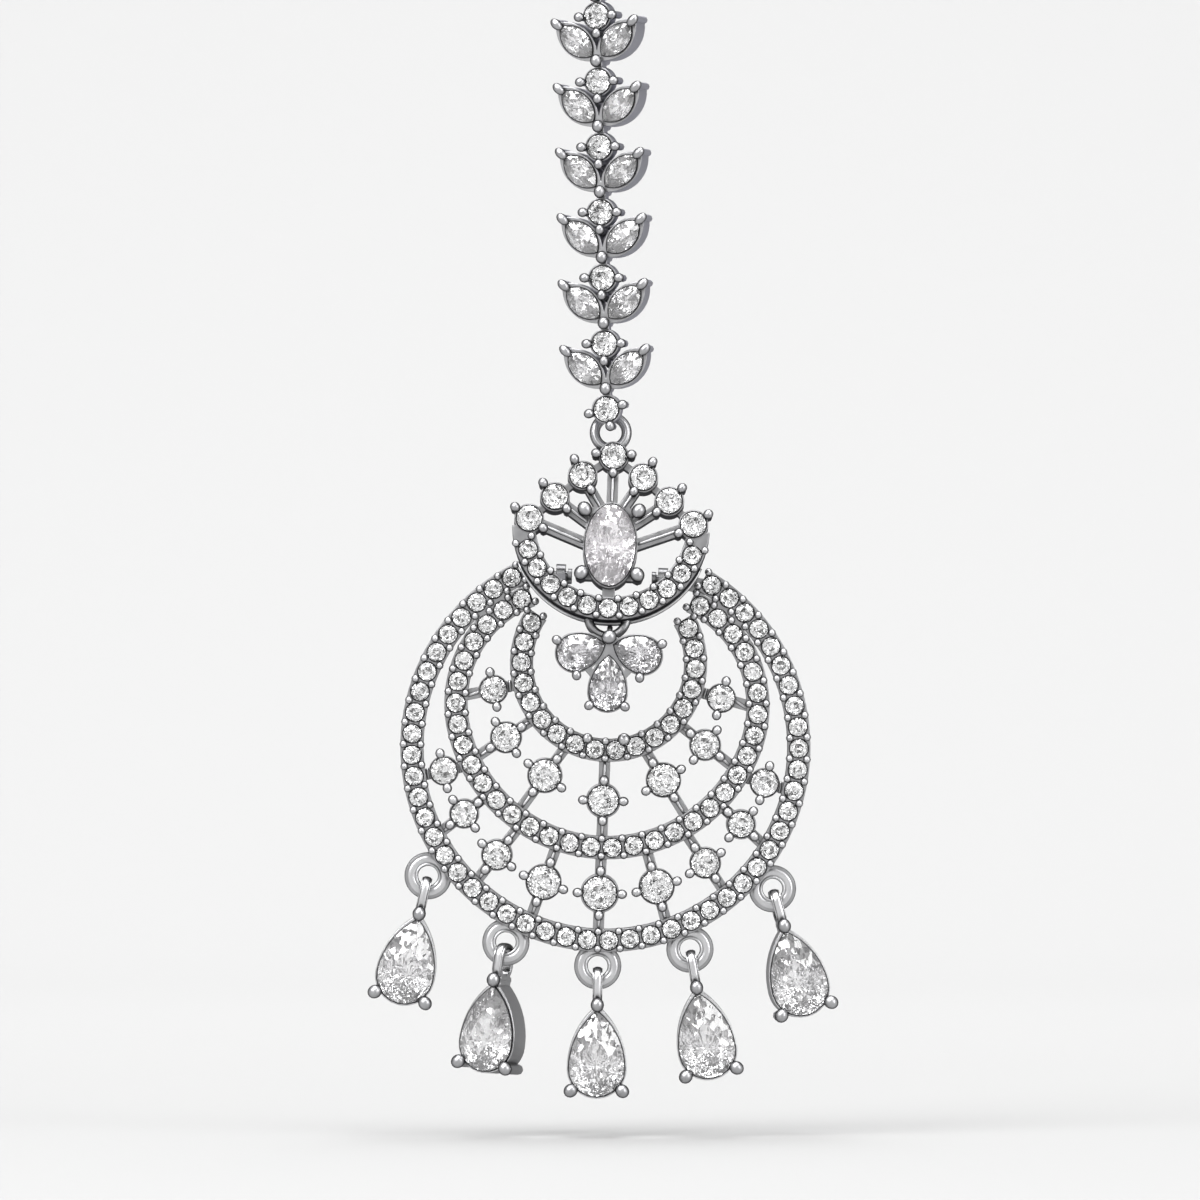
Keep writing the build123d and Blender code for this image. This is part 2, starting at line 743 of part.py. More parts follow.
def crescent_straps():
    """Spokes, prong feet and drop washers, which lie behind the bands' face."""
    straps = Sketch()
    for point, radius, spoke, prongs in accents(inner_row):
        inward = line_leaves_circle(point, spoke, inner_centre, inner_radius)
        outward = line_meets_circle(point, spoke, middle_centre, middle_radius)
        straps += spoke_bar(point, spoke, inward, outward)
    for point, radius, spoke, prongs in accents(outer_row):
        inward = line_leaves_circle(point, spoke, middle_centre, middle_radius)
        outward = line_meets_circle(point, spoke, (0, 0), outer_radius)
        straps += spoke_bar(point, spoke, inward, outward)
    for point, radius, spoke, prongs in accents(inner_row) + accents(outer_row):
        posts = accent_posts(point, radius, spoke, 2)
        straps += bar(posts[0], posts[1], post_width)
    return straps


def washer_points():
    """Middles of the five washers that the drops hang from."""
    return [on_circle((0, 0), washer_reach, row[0]) for row in drops]


def crescent_seats():
    """Every hole under a stone of the crescent."""
    seats = Sketch()
    for point in outer_points() + middle_points() + inner_points():
        seats += seat_hole(point)
    for point, radius, spoke, prongs in accents(inner_row) + accents(outer_row):
        seats += seat_hole(point, seat_share * radius)
    return seats


def crescent_arms():
    """Arms from the horns to the hinge, with the pins that turn in the crown's eyes."""
    arms = Part()
    beside = lug_across + lug_thickness / 2 + arm_gap
    length = lug_thickness + pin_run
    inside = beside + pin_in_arm - length
    root = (arm_root[0], crescent_below - arm_root[1])
    for side in (-1, 1):
        foot = (side * beside, crescent_below)
        knee = (side * (beside + arm_width / 2), crescent_below)
        arm = bar((side * root[0], root[1]), knee, arm_width) + bar(foot, knee, arm_width)
        arm -= seat_hole(on_circle((0, 0), outer_radius, side * outer_half_angle))
        arms += slab(arm, pin_depth - arm_half_depth, pin_depth + arm_half_depth)
        pin = Cylinder(pin_radius, length, rotation=(0, 90, 0))
        head = Cylinder(pin_head, pin_head_thickness, rotation=(0, 90, 0))
        arms += Pos(side * (inside + length / 2), crescent_below, pin_depth) * pin
        arms += Pos(side * inside, crescent_below, pin_depth) * head
    return arms


def crescent_frame():
    """Bands, cups, spokes, washers, prongs and hinge arms as one soldered piece."""
    seats = crescent_seats()
    plate = bands()
    for point, radius, spoke, prongs in accents(inner_row) + accents(outer_row):
        plate += disc(point, radius + cup_wall)
    body = slab(plate - seats, -band_depth, 0)
    body += slab(crescent_straps() - seats, strap_back, strap_front)
    washers = Sketch()
    for point in washer_points():
        washers += disc(point, washer_radius) - disc(point, washer_hole)
    half = washer_thickness / 2
    body += slab(washers - seats, washer_depth - half, washer_depth + half)
    posts = []
    for accent in accents(inner_row) + accents(outer_row):
        posts += [prong(post, prong_radius, strap_back, prong_height) for post in accent_posts(*accent)]
    return body + posts + crescent_arms()


def accent_stones(rows):
    """The single stones of one row."""
    stones = []
    for point, radius, spoke, prongs in accents(rows):
        stones.append(Pos(*point) * Rot(Z=spoke) * round_stone(radius))
    return stones


def crescent():
    """Crescent metal and all its stones."""
    here = crescent_location()
    place("crescent_frame", here * crescent_frame())
    pave = round_stone(pave_radius)
    place("outer_pave_stones", *[here * Pos(*point) * pave for point in outer_points()])
    place("middle_pave_stones", *[here * Pos(*point) * pave for point in middle_points()])
    place("inner_pave_stones", *[here * Pos(*point) * pave for point in inner_points()])
    place("inner_accent_stones", *[here * stone for stone in accent_stones(inner_row)])
    place("outer_accent_stones", *[here * stone for stone in accent_stones(outer_row)])


# Drops ---------------------------------------------------------------------

def drop_location(row):
    """One drop's face frame, its origin at the middle of its washer."""
    angle, tilt, turn = row
    point = on_circle((0, 0), washer_reach, angle)
    washer = crescent_location() * Pos(point[0], point[1], washer_depth)
    middle = washer.position
    upright = Pos(middle.X, middle.Y, middle.Z) * Rot(Y=-tilt) * Rot(Z=-turn) * FRONT
    return upright


def drop_setting():
    """Pear cup with three prongs and the flat bail above it."""
    height = drop_length - drop_radius
    centre = (0, -drop_shoulder - drop_tip - height)
    cup = Pos(*centre) * pear(drop_radius + drop_wall, height + 2 * drop_wall)
    seat = Pos(*centre) * pear(seat_share * drop_radius, seat_share * height)
    body = slab(cup - seat, drop_face - drop_depth, drop_face)
    neck = bar((0, bail_foot - bail_strip / 2), (0, -drop_shoulder - drop_tip), bail_width)
    body += slab(neck, -bail_inside - bail_strip, bail_inside)
    body += prong((0, -drop_shoulder), drop_prong, drop_face - drop_depth, drop_face + drop_prong_height)
    for side in (-1, 1):
        post = on_circle(centre, drop_prong_reach, side * drop_prong_angle)
        body += prong(post, drop_prong, drop_face - drop_depth, drop_face + drop_prong_height)
    return body + bail()


def bail():
    """Flat strip bent into a long loop, standing across the face."""
    height = bail_top - bail_foot
    middle = (bail_top + bail_foot) / 2
    inside = RectangleRounded(2 * bail_inside, height, bail_bend)
    width = 2 * (bail_inside + bail_strip)
    outside = RectangleRounded(width, height + 2 * bail_strip, bail_bend + bail_strip)
    loop = extrude(outside - inside, amount=bail_width / 2, both=True)
    return Pos(0, middle, 0) * Rot(Y=90) * loop


def drop_stones():
    """All five drops."""
    height = drop_length - drop_radius
    centre = Pos(0, -drop_shoulder - drop_tip - height, drop_face)
    stone = cut_stone(pear_outline(drop_radius, height - drop_tip_gap), drop_crown, drop_pavilion)
    for number, row in enumerate(drops, 1):
        here = drop_location(row)
        place(f"drop_setting_{number}", here * drop_setting())
        place(f"drop_stone_{number}", here * centre * stone)


os.makedirs("parts", exist_ok=True)
volumes = {}
first_bar = link_location(0) * Pos(0, throat_height, chain_face)
eye_slack = eye_radius - eye_wire / 2 - bar_radius - loop_gap
eye_middle = (first_bar.position.X, first_bar.position.Y, first_bar.position.Z + eye_slack)
place("hair_hook", hair_hook(eye_middle))
chain()
crown()
trefoil()
crescent()
drop_stones()
print("metal and stone volume, cubic mm:", round(sum(volumes.values()), 1))
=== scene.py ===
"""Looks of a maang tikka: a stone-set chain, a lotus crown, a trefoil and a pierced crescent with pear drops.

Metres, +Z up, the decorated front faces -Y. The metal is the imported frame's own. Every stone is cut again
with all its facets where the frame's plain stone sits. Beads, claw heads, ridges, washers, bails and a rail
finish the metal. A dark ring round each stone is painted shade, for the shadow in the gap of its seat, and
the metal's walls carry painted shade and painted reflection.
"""
import json
from math import pi

import bpy
import numpy as np
from mathutils import Matrix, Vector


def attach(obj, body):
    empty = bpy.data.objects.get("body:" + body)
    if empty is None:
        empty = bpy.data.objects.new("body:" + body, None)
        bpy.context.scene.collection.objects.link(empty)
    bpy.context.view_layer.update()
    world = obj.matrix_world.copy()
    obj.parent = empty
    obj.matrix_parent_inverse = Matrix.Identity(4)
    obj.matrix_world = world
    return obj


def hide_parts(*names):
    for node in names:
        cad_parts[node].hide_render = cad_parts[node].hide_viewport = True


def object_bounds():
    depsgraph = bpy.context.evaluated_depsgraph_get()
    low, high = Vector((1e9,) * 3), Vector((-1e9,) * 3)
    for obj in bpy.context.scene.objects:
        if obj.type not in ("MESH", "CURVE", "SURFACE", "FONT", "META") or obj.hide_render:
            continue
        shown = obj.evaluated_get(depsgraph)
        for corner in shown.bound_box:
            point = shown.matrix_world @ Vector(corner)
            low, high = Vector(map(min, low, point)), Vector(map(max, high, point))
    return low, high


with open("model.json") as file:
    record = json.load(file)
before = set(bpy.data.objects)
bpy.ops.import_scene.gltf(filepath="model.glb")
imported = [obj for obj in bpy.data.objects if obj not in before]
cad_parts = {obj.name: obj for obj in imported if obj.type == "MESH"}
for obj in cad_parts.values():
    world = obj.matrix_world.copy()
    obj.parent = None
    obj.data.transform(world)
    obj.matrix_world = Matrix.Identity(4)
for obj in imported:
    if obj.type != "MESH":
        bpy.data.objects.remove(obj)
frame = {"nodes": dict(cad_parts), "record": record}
cad_box = [list(corner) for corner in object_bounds()]

MM = 0.001
FRONT = np.array([0.0, -1.0, 0.0])
UP = np.array([0.0, 0.0, 1.0])

LINKS = 7
DROPS = 5

# Stones
ROUND_TABLE = 0.56
FANCY_TABLE = 0.5         # of the oval, leaf and pear stones
CROWN_HEIGHT = 0.36       # of the half width
PAVILION_DEPTH = 0.80     # of the half width
GIRDLE = 0.03 * MM        # half thickness
STAR_HEIGHT = 0.56        # of the crown
LOWER_REACH = 0.26        # of the half width, the lower girdle points
LOWER_DEPTH = 0.77        # of the pavilion
ROW_GROWTH = 1.03         # row stones, past their plain size

# Reading the plain stones
SMALLEST_FACE = 1e-14     # twice the area, below which a triangle has no direction
SAME_WAY = 0.9995         # cosine within which two triangles lie in one flat
GIRDLE_BAND = 0.02 * MM
EVEN = 1.05               # two lengths within this ratio count as equal

# Beads raised between the row stones
BEAD_RADIUS = 0.28 * MM
BEAD_REACH = 0.62 * MM    # from the row's middle line
BEAD_LIFT = 0.06 * MM
BIG_BEADS = (             # x, z and radius, mm: larger ones in the inner row
    (2.18, -65.71, 0.48),
    (-0.29, -65.9, 0.38),
)

# Claws: the frame's posts end in a flat, which a round head covers
CLAW_FLOOR = 0.43 * MM    # above the girdle
CLAW_TOP = 0.5            # the flat's share of the post's radius
CLAW_HEAD = 1.28          # the head's share
CLAW_TAPER = 0.8          # height of the taper, as a share of the radius
CLAW_STRETCH = 1.1        # towards the stone that the claw holds
LEAF_STRETCH = 1.5        # the same at a leaf's tip
SLIM = 0.8                # half width over half length, below which a stone is slim
AT_TIP = 0.9              # cosine from a slim stone's length

# Painted shade: a dark ring round each stone, which stands for the shadow in the gap where it sits in its
# metal
LINE_HALF = np.array([0.05, 0.05]) * MM
LINE_GAP = 0.02 * MM

# Raised ridges along the spokes
SPOKE_DEPTH = 0.5 * MM    # the spokes' front, behind the girdle
SPOKE_SHORTEST = 0.5 * MM
RIDGE_HALF = np.array([0.13, 0.15]) * MM
FAN_FEET = (0.67, 1.47, 0.5, -0.53)    # mm above the oval's middle, where the spokes meet its middle line

# Crown, measured from the oval's middle
BAND_CENTRE = 1.67 * MM   # above it, the middle of the lower band's curve
RAIL_RADIUS = 7.16 * MM
RAIL_DEPTH = 1.3 * MM
RAIL_SPAN = 66.0          # degrees each way from straight down
RAIL_HALF = np.array([0.16, 0.18]) * MM
RING_PLACE = np.array([-0.28, 8.31, -0.9]) * MM    # across, up and forwards
RING_MIDDLE = 1.14 * MM
RING_HALF = np.array([0.365, 0.365]) * MM

# Bails of the drops, measured from their washers
BAIL_TOP = 0.45 * MM
BAIL_FOOT = 2.35 * MM
BAIL_DEPTH = 0.75 * MM    # half of the depth inside
BAIL_STRIP = 0.3 * MM
BAIL_BEND = 0.85 * MM
BAIL_HALF = np.array([0.28, 0.1]) * MM

# Plate
WALL_ROUGHNESS = 0.15     # added on the side walls
EDGE_TINT = (0.4, 0.4, 0.41, 1)

# Drops and their washers
STONE_BELOW_WASHER = 7.32 * MM
STONE_BEFORE_WASHER = 1.1 * MM
WASHER_MIDDLE = 1.2 * MM
WASHER_HALF = np.array([0.49, 0.46]) * MM    # half width and half thickness
LIP_MIDDLE = 0.83 * MM
LIP_HALF = np.array([0.1, 0.1]) * MM

# Camera and studio
VIEW_WIDTH = 85.8 * MM
VIEW_MIDDLE = np.array([0.43, 0.0, -55.77]) * MM
CAMERA_AWAY = 0.9
SENSOR = 36.0
FLOOR_BELOW = 2.8 * MM
FLOOR_RUN = 0.35
BEND = 0.3
FLOOR_GLOW = 0.13
WALL_GLOW = 0.323
GLOW_RUN = (-0.01, 0.41)  # metres behind the jewel, where the floor's glow turns into the wall's
PAPER = (0.28, 0.28, 0.28, 1)
SWEEP_FRONT = -1.2
SWEEP_SIDE = 1.5
SWEEP_TOP = 1.6
LIGHTS = {                # place, size and watts
    "window_left": ((-0.5, -0.6, 0.5), (0.5, 0.5), 7),
    "window_right": ((0.6, -0.5, 0.2), (0.35, 0.6), 3),
    "overhead": ((0.0, -0.02, 0.5), (0.4, 0.8), 7.5),
}
PATCHES = 11.0
PATCH_EDGE = (0.42, 0.47)
PATCH_LIGHT = (0.02, 1.1)
PALE_CONE = 0.96          # cosine of the pale cone straight in front
PALE_FADE = 8.0
SKY_STRENGTH = 0.85


# Stones where the frame has them ---------------------------------------------

class Seat:
    """Place of one stone: its middle on the girdle, its own axes, and half sizes."""

    def __init__(self, middle, across, along, out, half_width, foot, tip):
        self.middle = middle
        self.across = across
        self.along = along
        self.out = out
        self.half_width = half_width
        self.foot = foot
        self.tip = tip

    def place(self, points):
        """Points in the stone's own axes, put where the stone sits."""
        axes = np.stack([self.across, self.along, self.out])
        return self.middle + points @ axes


def unit(vector):
    """The vector at length one."""
    return vector / np.linalg.norm(vector)


def mesh_arrays(node):
    """A frame node's corners, merged where they coincide, and its triangles."""
    mesh = frame["nodes"][node].data
    points = np.zeros(len(mesh.vertices) * 3)
    mesh.vertices.foreach_get("co", points)
    points = points.reshape(-1, 3)
    mesh.calc_loop_triangles()
    corners = np.zeros(len(mesh.loop_triangles) * 3, int)
    mesh.loop_triangles.foreach_get("vertices", corners)
    rounded = np.round(points, 7)
    _, first, joined = np.unique(rounded, axis=0, return_index=True, return_inverse=True)
    return points[first], joined.ravel()[corners].reshape(-1, 3)


def joined_groups(triangles, count):
    """Groups of triangles that share corners: every corner takes the lowest number it is joined to, until
    nothing changes."""
    labels = np.arange(count)
    while len(triangles):
        lowest = labels[triangles].min(axis=1)
        spread = labels.copy()
        for side in range(3):
            np.minimum.at(spread, triangles[:, side], lowest)
        if np.array_equal(spread, labels):
            break
        labels = spread
    own = labels[triangles[:, 0]]
    for label in np.unique(own):
        yield triangles[own == label]


def loose_solids(node):
    """The node's separate solids."""
    points, triangles = mesh_arrays(node)
    for solid in joined_groups(triangles, len(points)):
        yield points, solid


def read_seat(points, triangles):
    """Seat of one plain stone: its table is its largest flat, and its culet lies on the stone's own axis."""
    corners = points[triangles]
    normals = np.cross(corners[:, 1] - corners[:, 0], corners[:, 2] - corners[:, 0])
    areas = np.linalg.norm(normals, axis=1)
    keep = areas > SMALLEST_FACE
    normals, areas = normals[keep] / areas[keep, None], areas[keep]
    alike = (normals @ normals.T > SAME_WAY) @ areas
    out = normals[np.argmax(alike)]
    solid = points[np.unique(triangles)]
    height = solid @ out
    culet = solid[np.argmin(height)]
    flat = solid - np.outer((solid - culet) @ out, out) - culet
    reach = np.linalg.norm(flat, axis=1)
    girdle_height = height[np.argmax(reach)]
    girdle = flat[np.abs(height - girdle_height) < GIRDLE_BAND]
    spread = girdle.T @ girdle
    values, vectors = np.linalg.eigh(spread)
    along = vectors[:, 2]
    if values[2] < EVEN * values[1]:
        along = unit(UP - (UP @ out) * out)
    lengths = girdle @ along
    if max(-lengths.min(), lengths.max()) < EVEN * min(-lengths.min(), lengths.max()):
        along = along * np.sign(along @ UP + 1e-9)
    elif lengths.max() < -lengths.min():
        along = -along
    across = np.cross(along, out)
    lengths = girdle @ along
    middle = culet + (girdle_height - culet @ out) * out
    width = np.abs(girdle @ across).max()
    return Seat(middle, across, along, out, width, -lengths.min(), lengths.max())


def seats(node):
    """Seats of all the stones in a node."""
    return [read_seat(points, triangles) for points, triangles in loose_solids(node)]


def claw_tops(node, seat):
    """Middles of the claws' flat tops and radii of their posts: the triangles of a frame node that lie wholly
    in front of its face, grouped where they share corners."""
    points, triangles = mesh_arrays(node)
    height = (points - seat.middle) @ seat.out
    tops = triangles[(height[triangles] > CLAW_FLOOR).all(axis=1)]
    for top in joined_groups(tops, len(points)):
        corners = points[np.unique(top)]
        middle = corners.mean(axis=0)
        radius = np.linalg.norm(corners - middle, axis=1).max() / CLAW_TOP
        yield middle, radius


# Meshes ----------------------------------------------------------------------

def make_piece(name, points, faces, body, slot, material, smooth=False):
    """A mesh object from points and faces, which rides on a body."""
    mesh = bpy.data.meshes.new(name)
    mesh.from_pydata(np.asarray(points).tolist(), [], [list(map(int, face)) for face in faces])
    mesh.update()
    mesh.polygons.foreach_set("use_smooth", np.full(len(mesh.polygons), smooth))
    piece = bpy.data.objects.new(name, mesh)
    bpy.context.scene.collection.objects.link(piece)
    piece.data.materials.append(material)
    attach(piece, body)
    return piece


def many(shapes):
    """Several shapes of points and faces as one."""
    points = []
    faces = []
    count = 0
    for some_points, some_faces in shapes:
        points.append(some_points)
        faces.extend([[corner + count for corner in face] for face in some_faces])
        count += len(some_points)
    return np.concatenate(points), faces


def grid_faces(rows, columns, closed_rows=False):
    """Quads of a grid whose columns close on themselves, and its rows too where asked."""
    faces = []
    for row in range(rows if closed_rows else rows - 1):
        for column in range(columns):
            nxt = (column + 1) % columns
            low = row * columns
            high = ((row + 1) % rows) * columns
            faces.append([low + column, low + nxt, high + nxt, high + column])
    return faces


def round_girdle(turn):
    """A circle of radius one."""
    return np.stack([np.cos(turn), np.sin(turn)], axis=1)


def lens_girdle(turn, half_width, tip):
    """Two equal arcs that meet in a tip at each end; the turn runs along the arcs' length."""
    radius = (tip ** 2 + half_width ** 2) / (2 * half_width)
    spread = np.arcsin(tip / radius)
    share = np.mod(-turn / pi, 2.0)
    side = np.where(share < 1, 1.0, -1.0)
    sweep = spread * (1 - 2 * np.mod(share, 1.0))
    along = radius * np.sin(sweep)
    across = radius * np.cos(sweep) - radius + half_width
    return np.stack([side * across, side * along], axis=1)


def pear_girdle(turn, half_width, tip):
    """A half circle below and two arcs that meet in a tip above, at even lengths along the turn."""
    radius = (tip ** 2 + half_width ** 2) / (2 * half_width)
    spread = np.arcsin(tip / radius)
    share = np.mod(turn / (2 * pi) + 0.5, 1.0) * 2 - 1
    size = np.abs(share)
    foot = 0.42
    low = pi * 0.5 * np.minimum(size / foot, 1.0)
    high = spread * np.clip((size - foot) / (1 - foot), 0.0, 1.0)
    below = size < foot
    across = np.where(below, half_width * np.sin(low), radius * np.cos(high) - radius + half_width)
    along = np.where(below, -half_width * np.cos(low), radius * np.sin(high))
    return np.stack([np.sign(share + 1e-12) * across, along], axis=1)


def brilliant(seat, girdle, sides, table, crown, pavilion, start=0.0):
    """A brilliant cut. Rings of corners shrink the girdle's outline towards its middle: the table, the star
    points between its corners, both edges of the girdle, the lower girdle points and the culet."""
    step = 2 * pi / sides
    even = start + step * np.arange(sides)
    odd = even + step / 2
    both = start + step / 2 * np.arange(2 * sides)
    star = 0.5 * (1 + table) * 0.99
    rings = [
        (even, table, crown),
        (odd, star, crown * STAR_HEIGHT),
        (both, 1.0, GIRDLE),
        (both, 1.0, -GIRDLE),
        (odd, LOWER_REACH, -pavilion * LOWER_DEPTH),
    ]
    parts = []
    for turns, share, height in rings:
        outline = girdle(turns) * share
        parts.append(np.column_stack([outline, np.full(len(turns), height)]))
    parts.append(np.array([[0.0, 0.0, -pavilion]]))
    points = seat.place(np.concatenate(parts))
    stars, top, low, mains = sides, 2 * sides, 4 * sides, 6 * sides
    culet = 7 * sides
    faces = [list(range(sides))]
    for i in range(sides):
        j = (i + 1) % sides
        before = (i - 1) % sides
        here, middle, after = top + 2 * i, top + 2 * i + 1, top + 2 * j
        faces += [[i, stars + i, j], [i, stars + before, here, stars + i]]
        faces += [[stars + i, here, middle], [stars + i, middle, after]]
        for first, second in ((2 * i, 2 * i + 1), (2 * i + 1, 2 * j)):
            faces.append([top + first, low + first, low + second, top + second])
        faces += [[low + 2 * i, mains + i, low + 2 * i + 1], [low + 2 * i + 1, mains + i, low + 2 * j]]
        faces.append([low + 2 * i, mains + before, culet, mains + i])
    return points, faces, girdle


def round_stone(seat, grow=1.0):
    """A round brilliant."""
    radius = seat.half_width * grow
    return brilliant(seat, lambda turn: radius * round_girdle(turn), 8, ROUND_TABLE,
                     CROWN_HEIGHT * radius, PAVILION_DEPTH * radius, start=pi / 8)


def oval_stone(seat):
    """An oval brilliant."""
    size = np.array([seat.half_width, seat.tip])
    return brilliant(seat, lambda turn: size * round_girdle(turn), 14, FANCY_TABLE,
                     0.4 * seat.half_width, 0.78 * seat.half_width, start=pi / 2)


def leaf_stone(seat):
    """A marquise brilliant."""
    return brilliant(seat, lambda turn: lens_girdle(turn, seat.half_width, seat.tip), 8, FANCY_TABLE,
                     0.42 * seat.half_width, 0.95 * seat.half_width)


def pear_stone(seat):
    """A pear brilliant."""
    return brilliant(seat, lambda turn: pear_girdle(turn, seat.half_width, seat.tip), 14, FANCY_TABLE,
                     0.38 * seat.half_width, 0.72 * seat.half_width)


def ball(middle, out, radius, columns=10, rows=6, stretch=None):
    """A round bead: rings of points from one pole to the other, drawn out along a direction where asked."""
    side = unit(np.cross(out, UP + 0.1 * FRONT))
    other = np.cross(out, side)
    turn = 2 * pi * np.arange(columns) / columns
    climb = pi * np.arange(1, rows) / rows
    ring = np.cos(turn)[:, None] * side + np.sin(turn)[:, None] * other
    points = np.sin(climb)[:, None, None] * ring[None] + np.cos(climb)[:, None, None] * out
    points = np.concatenate([points.reshape(-1, 3), [out, -out]]) * radius
    if stretch is not None:
        size = np.linalg.norm(stretch)
        points = points + np.outer(points @ stretch / size, stretch / size) * (size - 1)
    points = points + middle
    faces = [list(reversed(face)) for face in grid_faces(rows - 1, columns)]
    top, foot = len(points) - 2, len(points) - 1
    last = (rows - 2) * columns
    for column in range(columns):
        nxt = (column + 1) % columns
        faces += [[top, column, nxt], [foot, last + nxt, last + column]]
    return points, faces


def turned_ring(middle, out, radius, half, columns=40, rows=14):
    """A ring turned about an axis: an oval section carried round a circle."""
    side = unit(np.cross(out, UP + 0.1 * FRONT))
    other = np.cross(out, side)
    turn = 2 * pi * np.arange(columns) / columns
    round_section = 2 * pi * np.arange(rows) / rows
    spoke = np.cos(turn)[:, None] * side + np.sin(turn)[:, None] * other
    reach = radius + half[0] * np.cos(round_section)
    rise = half[1] * np.sin(round_section)
    points = reach[:, None, None] * spoke[None] + rise[:, None, None] * out + middle
    return points.reshape(-1, 3), grid_faces(rows, columns, closed_rows=True)


def rim(seat, girdle, columns=24, rows=6):
    """A thin ring of painted shade round a stone, for the shadow in the gap of its seat: an oval section
    carried along the girdle, just outside it.
    """
    turn = 2 * pi * np.arange(columns) / columns
    outline = girdle(turn)
    outward = outline / np.linalg.norm(outline, axis=1)[:, None]
    section = 2 * pi * np.arange(rows) / rows
    reach = LINE_GAP + LINE_HALF[0] * np.cos(section)
    flat = outline[None] + reach[:, None, None] * outward[None]
    rise = np.broadcast_to((LINE_HALF[1] * np.sin(section))[:, None, None], (rows, columns, 1))
    points = np.concatenate([flat, rise], axis=2).reshape(-1, 3)
    return seat.place(points), grid_faces(rows, columns, closed_rows=True)


def bent_bar(path, out, half, columns=8):
    """A rounded bar with closed ends along a path: an oval section scaled by the fourth root of the sine of
    its run."""
    rows = len(path)
    side = np.cross(np.gradient(path, axis=0), out)
    side = side / np.linalg.norm(side, axis=1)[:, None]
    swell = np.sin(pi * (np.arange(rows) + 0.5) / rows) ** 0.25
    turn = 2 * pi * np.arange(columns) / columns
    section = half[0] * np.cos(turn)[None, :, None] * side[:, None] + half[1] * np.sin(turn)[:, None] * out
    points = path[:, None] + swell[:, None, None] * section
    points = np.concatenate([points.reshape(-1, 3), path[[0, -1]]])
    faces = [list(reversed(face)) for face in grid_faces(rows, columns)]
    last = (rows - 1) * columns
    for column in range(columns):
        nxt = (column + 1) % columns
        faces += [[len(points) - 2, column, nxt], [len(points) - 1, last + nxt, last + column]]
    return points, faces


def ridge(start, end, out, half):
    """A straight rounded bar."""
    return bent_bar(start + np.linspace(0, 1, 7)[:, None] * (end - start), out, half)


def loop_strip(middle, up, out, half_depth, half_height, bend, half, corner=8, rows=8):
    """A closed strip that stands across the face: an oval section carried round a rectangle with round
    corners."""
    centres = np.array([[1, 1], [-1, 1], [-1, -1], [1, -1]]) * [half_depth - bend, half_height - bend]
    quarter = np.linspace(0, pi / 2, corner)
    turn = (quarter[None] + pi / 2 * np.arange(4)[:, None]).ravel()
    normal = np.stack([np.cos(turn), np.sin(turn)], axis=1)
    path = np.repeat(centres, corner, axis=0) + bend * normal
    across = np.cross(up, out)
    section = 2 * pi * np.arange(rows) / rows
    lift = half[1] * np.sin(section)
    flat = path[None] + lift[:, None, None] * normal[None]
    side = half[0] * np.cos(section)
    points = middle + flat[:, :, :1] * out + flat[:, :, 1:] * up + side[:, None, None] * across
    return points.reshape(-1, 3), grid_faces(rows, len(path), closed_rows=True)


# Materials ---------------------------------------------------------------------

class Flow:
    """A socket whose arithmetic adds Math nodes."""

    def __init__(self, tree, socket):
        self.tree = tree
        self.socket = socket

    def join(self, operation, first, second):
        """One Math node on two values."""
        node = self.tree.nodes.new("ShaderNodeMath")
        node.operation = operation
        for place, value in enumerate((first, second)):
            if isinstance(value, Flow):
                self.tree.links.new(value.socket, node.inputs[place])
            else:
                node.inputs[place].default_value = value
        return Flow(self.tree, node.outputs[0])

    def __add__(self, other):
        return self.join("ADD", self, other)

    def __sub__(self, other):
        return self.join("SUBTRACT", self, other)

    def __rsub__(self, other):
        return self.join("SUBTRACT", other, self)

    def __mul__(self, other):
        return self.join("MULTIPLY", self, other)

    __radd__ = __add__
    __rmul__ = __mul__


class Nodes:
    """A node tree."""

    def __init__(self, tree):
        self.tree = tree

    def node(self, kind, settings=None, output=0, places=(), **sockets):
        """A node of a type, its settings first, then the values or links of its sockets, by place or by
        name."""
        made = self.tree.nodes.new(kind)
        for name, value in (settings or {}).items():
            setattr(made, name, value)
        for place, value in places:
            self.feed(made, place, value)
        for name, value in sockets.items():
            self.feed(made, name.replace("_", " "), value)
        return Flow(self.tree, made.outputs[output])

    def feed(self, node, socket, value):
        """A value or a link on a socket."""
        if isinstance(value, Flow):
            self.tree.links.new(value.socket, node.inputs[socket])
        else:
            node.inputs[socket].default_value = value


class Finish(Nodes):
    """A material, its node tree and its shader."""

    def __init__(self, name):
        self.material = bpy.data.materials.new(name)
        self.material.use_nodes = True
        super().__init__(self.material.node_tree)
        self.shader = self.tree.nodes["Principled BSDF"]

    def set(self, **sockets):
        """Values or links of the shader's own sockets."""
        for name, value in sockets.items():
            self.feed(self.shader, name.replace("_", " "), value)
        return self


def noise(finish, scale, detail=2.0):
    """Soft noise on the object's own coordinates, its scale in features to a millimetre."""
    where = finish.node("ShaderNodeTexCoord", output="Object")
    return finish.node("ShaderNodeTexNoise", Vector=where, Scale=scale * 1000, Detail=detail)


MIX_INPUTS = (0, 6, 7)    # a Mix node's factor and its two colours
MIX_OUTPUT = 2            # its colour


def blend_colours(finish, share, dark, light):
    """A colour between two others."""
    ends = [colour if isinstance(colour, Flow) else (*colour, 1) for colour in (dark, light)]
    return finish.node("ShaderNodeMix", {"data_type": "RGBA"}, MIX_OUTPUT,
                       zip(MIX_INPUTS, (share, *ends)))


